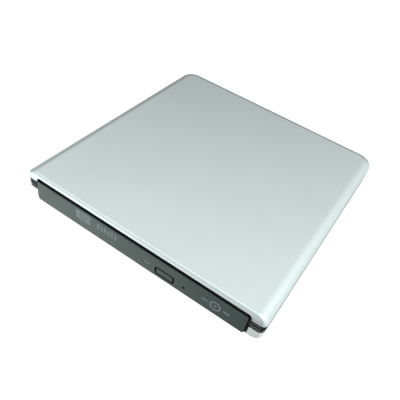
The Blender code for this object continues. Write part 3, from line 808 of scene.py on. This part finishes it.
def flex():
    """The flat cable: one leg lies on the drive's floor and turns up at the fold, the other runs back from
    the fold above it.
    """
    x, low, high, fold = (31.5, 41.5), 4.15, 5.35, -19.0
    radius, half = (high - low) / 2, 0.1

    def ribbon(route):
        """A strip with the given (y, z) middle line, which stays closed and flat."""
        rings = []
        for i, (y, z) in enumerate(route):
            before, after = route[max(i - 1, 0)], route[min(i + 1, len(route) - 1)]
            along = Vector((after[0] - before[0], after[1] - before[1])).normalized()
            across = Vector((-along.y, along.x)) * half
            corners = ((x[0], -1), (x[1], -1), (x[1], 1), (x[0], 1))
            rings.append([(px, y + s * across.x, z + s * across.y) for px, s in corners])
        return loft(rings)

    lower = [(50.5 - 1.5 * i, low) for i in range(47)]
    lower = [point for point in lower if point[0] > fold + 0.5]
    angles = [math.pi * i / 12 for i in range(13)]
    lower += [(fold - radius * math.sin(a), low + radius - radius * math.cos(a)) for a in angles]
    piece("flex_floor_leg", ribbon(lower), "flex", "root", "flex_cable")
    steps = 60
    upper = [(fold + (43.8 - fold) * i / steps, high + 0.25 * i / steps) for i in range(steps + 1)]
    leg = piece("flex_tray_leg", ribbon(upper), "flex", None, "flex_cable")
    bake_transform(leg)


# ---- bezel ----


def bezel():
    proud = 0.02
    front, back = BEZEL_Y[0] + proud, BEZEL_Y[1]
    top, soft, crisp = BEZEL_Z[1] - 0.2, 0.5, 0.12
    rings = []
    for i in range(7):
        angle = math.pi / 2 * i / 6
        share = 1 - math.sin(angle)
        side, low, high = crisp * share, BEZEL_Z[0] + crisp * share, top - soft * share
        outline = rounded((BEZEL_X[0] + side, BEZEL_X[1] - side), (low, high), 0.9 - 0.3 * share)
        rings.append([(x, front + soft * (1 - math.cos(angle)), z) for x, z in outline])
    rings.append([(x, back, z) for x, _, z in rings[-1]])
    made = piece("disc_bezel", loft(rings), "bezel", "tray", "bezel")
    relief, core = (front + 0.62, back + 0.5), 62.6
    cut(
        made,
        block((-core, core), relief, (13.5, 17)),
        *[block(mirrored(side, core, 66), relief, (4.2, 17)) for side in (-1, 1)],
    )
    through = (BEZEL_Y[0] - 1, BEZEL_Y[1] + 1)
    pin_x, pin_z = EJECT_PIN
    cut(
        made,
        plate(*BUTTON_HOLE, through, 1.2),
        plate(*LIGHT_SLIT, through, 0.3),
        rod(PIN_HOLE, (pin_x, through[0], pin_z), (pin_x, through[1], pin_z)),
    )
    pin_hole = (pin_x - PIN_HOLE, pin_x + PIN_HOLE), (pin_z - PIN_HOLE, pin_z + PIN_HOLE)
    # Painted shade: near-black on the linings of the button hole, light slit and pin hole, and on the bezel's
    # top and side edges.
    paint_shade(made, lining([BUTTON_HOLE, LIGHT_SLIT, pin_hole]))
    paint_shade(made, rim)
    gap = 0.85
    cap_x, cap_z = [(low + gap, high - gap) for low, high in BUTTON_HOLE]
    cap = plate(cap_x, cap_z, (BUTTON_Y[0], -75.3), 0.75, 0.14)
    cap = piece("eject_key", cap, "bezel", "button", "eject_button")
    fuse(cap, block((17.5, 20.5), (-75.6, BUTTON_Y[1]), (6.5, 8.3)))
    # The key's side walls get the same painted shade.
    paint_shade(cap, lining([BUTTON_HOLE]))
    pipe = plate((6.3, 10.0), (6.85, 7.3), (BEZEL_Y[0] + 0.25, -71.4), 0.2, 0.12, 0.05)
    piece("light_bar", pipe, "clear", "tray", "light_pipe")
    marks(BEZEL_Y[0], BEZEL_Y[0] + 2 * proud)


def paint_shade(made, chosen):
    """Paints near-black shade onto the faces that chosen(centre in mm, normal) picks, where pits, gaps and
    edges fall dark.
    """
    made.data.materials.append(PAINTED_SHADE.made)
    for face in made.data.polygons:
        if chosen(face.center / MM, face.normal):
            face.material_index = len(made.data.materials) - 1


def lining(pits, margin=0.1):
    """Picks the faces that line pits in a front panel, each pit a range of x and a range of z."""

    def within(value, low, high):
        return low - margin < value < high + margin

    def chosen(centre, normal):
        in_pit = any(within(centre.x, *x) and within(centre.z, *z) for x, z in pits)
        return in_pit and abs(normal.y) < 0.6

    return chosen


def rim(centre, normal):
    """Picks the faces of the bezel's edge that stand in the shade of the case."""
    at_top = centre.z > BEZEL_Z[1] - 1 and normal.z > 0.9
    at_side = abs(centre.x) > BEZEL_X[1] - 0.5 and abs(normal.x) > 0.7
    return at_top or at_side


def marks(front, back):
    """Plain printed marks: a disc in a box, a row of bars, and a ring with a dot."""
    deep = (front, back)

    def bar_mark(x, z, radius=0.3):
        return plate(x, z, deep, radius)

    def ring_mark(x, z, outer, inner):
        return bored_ring(outer, inner, (x, front, z), (x, back, z), 64)

    x, z = -32.35, 10.4
    box = bar_mark((-37.2, -27.5), (7.2, 13.6), 0.9)
    box = piece("print_disc_box", box, "bezel", "tray", surface=PRINT)
    cut(box, ring_mark(x, z, 2.3, 1.7), rod(0.55, (x, front - 1, z), (x, back + 1, z)))
    bars = [bar_mark((-23.0 + 2.2 * i, -21.8 + 2.2 * i), (8.6, 12.6 - 0.9 * (i % 2))) for i in range(6)]
    piece("print_bars", merged(*bars), "bezel", "tray", surface=PRINT)
    x, z = 47.8, 8.2
    ring = [ring_mark(x, z, 3.0, 2.2), rod(0.7, (x, front, z), (x, back, z))]
    ring += [bar_mark(sides, (7.7, 8.7)) for sides in ((40.2, 43.6), (52.0, 55.4))]
    piece("print_ring", merged(*ring), "bezel", "tray", surface=PRINT)


# ---- tray ----


def tray():
    """The deck with its two disc wells, open from below for the boards and the traverse."""
    front, back = -75.05, 46.5
    deck = soft_block((-62.7, 62.7), (front, back), (10.3, 14.5), 0.35, 3)
    body = block((-58.9, 58.9), (front, back), (4.1, 10.5))
    runners = block((-61.1, 61.1), (front + 0.05, back - 0.5), (5.8, 8.2))
    made = piece("disc_tray", deck, "tray_plastic", "tray", "tray")
    fuse(made, body, runners)
    well = [(0, 11.4), (59.6, 11.4), (60.15, 11.55), (60.4, 11.9), (60.4, 14.0), (60.55, 14.3), (60.9, 14.5)]
    small = [(0, 10), (39.6, 10), (40.1, 10.15), (40.3, 10.5), (40.3, 11.1), (40.55, 11.35), (40.9, 11.42)]
    aperture, drill = (8.5, 11.5), (-78, -70)
    pin_x, pin_z = EJECT_PIN
    rod_x, rod_z = EJECTOR
    (button_x, button_z), button_sill = BUTTON_HOLE, 4.5
    cut(
        made,
        turned([*well, (60.9, 16), (0, 16)], SPINDLE, 256),
        turned([*small, (40.9, 16), (0, 16)], SPINDLE, 192),
        block((-57.4, 57.4), (-72.6, 44.0), (3, 9.0)),
        moved(block((-18, 52), (-18.5, 23), aperture), TRAVERSE),
        moved(block((50, 59.7), (-8.9, 8.9), aperture), TRAVERSE),
        block((43.6, 48.8), (40, 50), (3, 8.9)),
        block((30.5, 42.5), (40, 50), (3, 5.9)),
        rod(1.2, (rod_x, 40, rod_z), (rod_x, 50, rod_z)),
        block(button_x, drill, (button_sill, button_z[1])),
        block((5.7, 10.6), drill, (6.3, 7.8)),
        rod(0.9, (pin_x, drill[0], pin_z), (pin_x, drill[1], pin_z)),
    )
    fuse(made, block((50, 55), (17.4, 19.4), (5, 9.2)))


def tray_fittings():
    front = soft_block((4, 27), (-72.2, -66.5), (5.2, 6.0), 0.08, 2)
    piece("front_circuit", front, "board", "tray", "front_board")
    switch = soft_block((16.5, 21.5), (-71.0, -68.3), (6.3, 8.8), 0.15)
    switch = piece("push_switch", switch, "chip", "tray", "eject_switch")
    fuse(switch, rod(0.8, (19, -71.3, 7.5), (19, -70.8, 7.5)))
    lamp = soft_block((7.2, 9.2), (-71.0, -69.4), (6.3, 7.5), 0.2)
    piece("status_lamp", lamp, "nylon", "tray", "status_led")
    cover = soft_block((-57, 30), (-72.2, 43.6), (4.2, 4.6), 0.1, 2)
    cover = piece("underside_plate", cover, "pressed_steel", "tray", "tray_base_cover")
    vents = [slot_hole((-44 + 9 * i, 26), (-44 + 9 * i, 36), 3.2, (4, 5)) for i in range(8)]
    cut(cover, merged(*vents), slot_hole((-40, -60), (16, -60), 4, (4, 5)))

    circuit = soft_block((-40, 41), (16, 43), (6.3, 7.3), 0.08, 2)
    piece("servo_circuit", circuit, "board", "tray", "tray_board")
    places = (((-30, -20), (22, 32)), ((8, 14), (26, 34)), ((20, 27), (20, 26)))
    chips = [soft_block(x, y, (5.2, 6.28), 0.12, 2) for x, y in places]
    piece("servo_support_chips", merged(*chips), "chip", "tray")
    piece("servo_die", soft_block((-12, 2), (22, 36), (7.6, 8.6), 0.15), "chip", "tray", "servo_chip")

    rod_x, rod_z = EJECTOR
    ejector = shaft("push_rod", "ejector_rod", 0.9, (rod_x, 19.9, rod_z), (rod_x, 50.7, rod_z))
    fuse(ejector, chamfered_rod(1.9, (rod_x, 19.8, rod_z), (rod_x, 21.4, rod_z)))
    spring = moved(coil(1.62, 0.26, 22.1, 43.2, 16), Matrix.Translation((rod_x, 0, rod_z)))
    piece("return_spring", spring, "bright_steel", "tray", "ejector_spring", sharp=80)


def latch():
    z = (5.6, 7.6)
    swing = Matrix.Translation((*LATCH_PIVOT, 0)) @ Matrix.Rotation(LATCH_RELEASE, 4, "Z")

    def arm(start, end, width):
        return moved(slot_hole(start, end, width, z), swing)

    hook = moved(rod(2.2, (0, 0, z[0]), (0, 0, z[1]), 64), swing)
    hook = piece("nylon_hook", hook, "nylon", "latch", "latch_hook")
    fuse(
        hook,
        arm((0, 0), (1.5, -13.2), 2.1),
        arm((0.8, -13.2), (8.3, -13.2), 1.9),
        arm((0, 0), (0, 6.5), 1.9),
        arm((0, 0), (-8.3, -10), 1.9),
    )
    cut(hook, moved(rod(1.2, (0, 0, 5), (0, 0, 8)), swing))
    round_edges(hook, 0.15, 2)
    shaft("hook_pin", "latch_pin", 0.9, (*LATCH_PIVOT, 4.9), (*LATCH_PIVOT, 8.7))
    shaft("catch_post", "lock_post", 1.1, (*LOCK_POST, 4.0), (*LOCK_POST, 8.5), "root")

    y, height = -44.0, 6.8

    def axis(x):
        return (x, y, height)

    yoke = soft_block((20, 32), (y - 3.6, y + 3.6), (5.0, 8.6), 0.2)
    yoke = piece("solenoid_yoke", yoke, "chip", "tray", "solenoid")
    cut(yoke, rod(1.3, axis(22.5), axis(34)), block((22.0, 30.0), (y - 5, y + 5), (5.6, 8.0)))
    winding = [bored_ring(1.78, 1.32, axis(22.05 + 0.25 * i), axis(22.28 + 0.25 * i), 32) for i in range(32)]
    piece("solenoid_winding", merged(*winding), "chip", "tray", surface=COPPER)
    shaft("steel_plunger", "solenoid_plunger", 1.0, axis(25), axis(38.5), "plunger")


# ---- traverse ----


def traverse():
    """The pickup's frame. Its u axis runs out from the spindle, and v lies across it."""
    for number, v in enumerate(GUIDE_RODS, 1):
        guide = chamfered_rod(1.1, (12.0, v, SHAFT_HEIGHT), (61.4, v, SHAFT_HEIGHT), 0.15)
        guide = moved(guide, TRAVERSE)
        piece(f"polished_rod_{number}", guide, "bright_steel", "tray", f"guide_rod_{number}")
    profile = [(0, -3), (1.9, -3), (2.1, -2.8), (2.1, 0.4), (1.98, 0.5), (1.98, 0.7), (2.1, 0.8), (2.1, 9.2)]
    profile += [(2.0, 9.4), (1.2, 9.4), (1.2, 10.3), (0, 10.3)]
    lie = TRAVERSE @ Matrix.Translation((0, LEAD_SCREW, SHAFT_HEIGHT)) @ Matrix.Rotation(math.pi / 2, 4, "Y")
    piece("sled_stepper", moved(turned(profile, sides=64), lie), "pressed_steel", "tray", "stepper_motor")
    screw = moved(threaded(1.1, 0.85, (10.8, 61.4), 3.0, 2), lie)
    piece("threaded_screw", screw, "bright_steel", "lead_screw", "lead_screw", sharp=50)

    cover = moved(soft_block((-17.5, 51.5), (-18, 22.5), (9.4, 9.9), 0.12, 2), TRAVERSE)
    cover = piece("hub_cover", cover, "pressed_steel", "tray", "traverse_cover")
    collar = [(15.3, 9.6), (16.6, 9.6), (16.5, 10.1), (16.3, 10.25), (15.7, 10.25), (15.4, 10.1)]
    fuse(cover, turned(collar, SPINDLE, 128, closed=True))
    slots = (((18, 14), (26, 14)), ((34, 14), (42, 14)), ((18, -13.6), (42, -13.6)))
    cut(
        cover,
        moved(rod(15.35, (0, 0, 9), (0, 0, 11), 128), TRAVERSE),
        moved(plate((12, 56), (-9.2, 9.2), (9, 11), 2.0), TRAVERSE @ UPRIGHT_TO_FLAT),
        *[moved(slot_hole(start, end, 2.4, (9, 11)), TRAVERSE) for start, end in slots],
    )


def threaded(radius, root, ends, lead, starts, sides=32, step=0.12, runout=1.5, crispness=2.2):
    """A shaft along Z with a rounded multi-start thread, which fades out towards both ends."""
    rings = []
    count = int((ends[1] - ends[0]) / step)
    for i in range(count + 1):
        height = ends[0] + (ends[1] - ends[0]) * i / count
        fade = min(1, (height - ends[0]) / runout, (ends[1] - height) / runout)
        ring = []
        for k in range(sides):
            angle = 2 * math.pi * k / sides
            phase = starts * (height / lead + angle / (2 * math.pi))
            swell = math.tanh(crispness * math.cos(2 * math.pi * phase))
            wave = 0.5 + 0.5 * swell / math.tanh(crispness)
            size = root + (radius - root) * wave * fade
            ring.append((size * math.cos(angle), size * math.sin(angle), height))
        rings.append(ring)
    return loft(rings)


def spindle():
    motor = [(1.3, 8.6), (10.9, 8.6), (11.25, 8.5), (11.4, 8.2), (11.4, 5.8), (11.6, 5.6), (12.3, 5.6)]
    motor += [(12.4, 5.5), (12.4, 4.9), (12.3, 4.8), (1.3, 4.8)]
    piece("hub_motor", turned(motor, SPINDLE, 128, closed=True), "pressed_steel", "tray", "spindle_motor")

    table = [(0, 14.1), (1.6, 14.1), (1.8, 14.35), (2.0, 14.4), (6.3, 14.4), (6.6, 14.33), (7.2, 14.0)]
    table += [(7.35, 13.7), (7.35, 12.3), (7.5, 12.2), (9.0, 12.2), (9.1, 12.1), (13.9, 12.1), (14.1, 12.05)]
    table += [(14.2, 11.9), (14.2, 10.7), (14.0, 10.5), (11.8, 10.5), (11.8, 8.9), (1.0, 8.9)]
    table += [(1.0, 5.4), (0, 5.4)]
    hub = piece("disc_hub", turned(table, SPINDLE, 160), "band", "spindle", "turntable")
    pockets, ribs = [], []
    outline = [(5.2, 13.0), (7.0, 13.0), (7.6, 13.3), (7.6, 13.5), (7.1, 13.9), (5.2, 13.9)]
    for number in range(1, 4):
        turn = TRAVERSE @ Matrix.Rotation(2 * math.pi * (number - 1) / 3, 4, "Z")
        pockets.append(moved(block((4.4, 8.2), (-1.6, 1.6), (12.7, 15)), turn))
        middle = TRAVERSE @ Matrix.Rotation(2 * math.pi * (number - 0.5) / 3, 4, "Z")
        ribs.append(moved(slot_hole((4.6, -2.2), (4.6, 2.2), 1.0, (14.0, 15)), middle))
        claw = moved(loft([[(u, v, z) for u, z in outline] for v in (-1.3, 1.3)]), turn)
        made = piece(f"grip_claw_{number}", claw, "nylon", f"claw_{number}", f"disc_claw_{number}")
        round_edges(made, 0.15, 3, 30)
    cut(hub, *pockets, *ribs)
    mat = [(9.5, 12.45), (9.5, 12.8), (9.65, 12.9), (13.4, 12.9), (13.6, 12.75), (13.6, 12.45)]
    piece("hub_mat", turned(mat, SPINDLE, 160, closed=True), "rubber", "spindle", "turntable_mat")


def pickup():
    at = TRAVERSE @ Matrix.Translation((SLED_REST, 0, 0))
    sled = moved(soft_block((-9, 4), (-14.6, 17.0), (5.2, 8.7), 0.3), at)
    sled = piece("laser_sled", sled, "black_steel", "pickup", "pickup_sled")
    fuse(sled, moved(soft_block((-7.5, 3.8), (-8, 8), (8.0, 10.6), 0.3), at))
    holes = [moved(rod(1.45, (-10, v, SHAFT_HEIGHT), (5, v, SHAFT_HEIGHT)), at) for v in GUIDE_RODS]
    slots = [moved(slot_hole((-7, v), (2, v), 1.0, (8.3, 9.2)), at) for v in (9.8, -9.8)]
    cut(sled, moved(block((-3.6, 5), (-4.6, 4.6), (9.2, 12)), at), *holes, *slots)
    sled_coils(at)
    holder = moved(soft_block((-3.2, 3.2), (-4.2, 4.2), (9.9, 11.2), 0.35), at)
    holder = piece("lens_carrier", holder, "chip", "lens", "lens_holder")
    cut(holder, moved(turned([(0, 9), (2.3, 9), (2.3, 10.9), (2.6, 11.3), (0, 11.3)], sides=64), at))
    dome = [(0, 11.7), (0.4, 11.69), (0.8, 11.64), (1.2, 11.53), (1.6, 11.33), (1.8, 11.12)]
    dome += [(1.82, 11.05), (2.05, 11.05), (2.05, 10.9), (0, 10.9)]
    piece("aspheric_lens", moved(turned(dome, sides=96), at), "lens", "lens", "objective_lens", sharp=50)


def sled_coils(at):
    """Focus coils on the two sides of the lens carrier, wound of fine wire."""
    loops = []
    for side in (-1, 1):
        for i in range(5):
            inset = 0.12 * i
            z = (10.05 + inset, 11.05 - inset * 0.6)
            outline = rounded((-2.6 + inset, 2.6 - inset), z, 0.3 - inset * 0.4)
            y = mirrored(side, 4.2, 4.3 + 0.01 * i)
            loops.append(moved(loft([[(x, level, z) for x, z in outline] for level in y]), at))
    piece("focus_coils", merged(*loops), "chip", "lens", surface=COPPER)


# ---- stage ----


def stage():
    """The paper under the drive, which can be seen through from below."""
    bpy.ops.mesh.primitive_plane_add(size=FLOOR_SIZE, location=(0, 0, 0))
    floor = bpy.context.object
    floor.name = "floor"
    paper = Finish("white_paper", (0.45, 0.46, 0.46), 0.9)
    paper.set("Emission Color", (1, 1, 1, 1))
    paper.set("Emission Strength", 0.8)
    clear = paper.node("ShaderNodeBsdfTransparent")
    mix = paper.node("ShaderNodeMixShader")
    paper.link(paper.node("ShaderNodeNewGeometry").outputs["Backfacing"], mix.inputs["Fac"])
    paper.link(paper.shader.outputs["BSDF"], mix.inputs[1])
    paper.link(clear.outputs["BSDF"], mix.inputs[2])
    paper.link(mix.outputs["Shader"], paper.tree.nodes["Material Output"].inputs["Surface"])
    floor.data.materials.append(paper.made)
    floor.visible_glossy = False


def softbox():
    """One broad overhead light. It shapes the dark plastics, and the world lights the metal."""
    data = bpy.data.lights.new("softbox", "AREA")
    data.shape = "RECTANGLE"
    data.size, data.size_y = SOFTBOX_SIZE
    data.energy = SOFTBOX_WATTS
    made = placed("softbox", data)
    made.location = SOFTBOX_AT
    made.rotation_mode = "QUATERNION"
    made.rotation_quaternion = (Vector(SOFTBOX_AIM) - Vector(SOFTBOX_AT)).to_track_quat("-Z", "Y")
    made.visible_glossy = False


def world():
    """A pale studio that lights the drive with soft lobes, behind a plain white backdrop."""
    made = bpy.data.worlds.new("studio")
    bpy.context.scene.world = made
    made.use_nodes = True
    tree = made.node_tree
    node, link = tree.nodes.new, tree.links.new
    background = tree.nodes["Background"]
    direction = node("ShaderNodeTexCoord").outputs["Generated"]
    total = None
    for towards, start, end, gain in SKY_LOBES:
        dot = node("ShaderNodeVectorMath")
        dot.operation = "DOT_PRODUCT"
        dot.inputs[1].default_value = Vector(towards).normalized()
        link(direction, dot.inputs[0])
        lobe = map_range(tree, dot.outputs["Value"], start, end, 0, gain)
        lobe.interpolation_type = "SMOOTHSTEP"
        add = node("ShaderNodeMath")
        add.operation = "ADD"
        add.inputs[0].default_value = SKY_BASE
        if total:
            link(total, add.inputs[0])
        link(lobe.outputs["Result"], add.inputs[1])
        total = add.outputs["Value"]
    background.inputs["Color"].default_value = SKY_COLOUR
    link(total, background.inputs["Strength"])
    backdrop = node("ShaderNodeBackground")
    backdrop.inputs["Color"].default_value = (1, 1, 1, 1)
    mix = node("ShaderNodeMixShader")
    link(node("ShaderNodeLightPath").outputs["Is Camera Ray"], mix.inputs["Fac"])
    link(background.outputs["Background"], mix.inputs[1])
    link(backdrop.outputs["Background"], mix.inputs[2])
    link(mix.outputs["Shader"], tree.nodes["World Output"].inputs["Surface"])


def camera():
    data = bpy.data.cameras.new("view")
    data.lens = LENS
    data.sensor_width = SENSOR_WIDTH
    made = placed("view", data)
    back = (Vector(CAMERA_AT) - Vector(LOOK_AT)).normalized()
    right = Vector(CAMERA_UP).cross(back).normalized()
    up = back.cross(right)
    made.matrix_world = Matrix.Translation(CAMERA_AT) @ Matrix((right, up, back)).transposed().to_4x4()
    bpy.context.scene.camera = made


camera()
stage()
softbox()
world()
bpy.context.scene.view_settings.view_transform = "Standard"
dress_cad()
case_shells()
feet_and_screws()
band()
rear_bay()
rails()
flex()
bezel()
tray()
tray_fittings()
latch()
traverse()
spindle()
pickup()
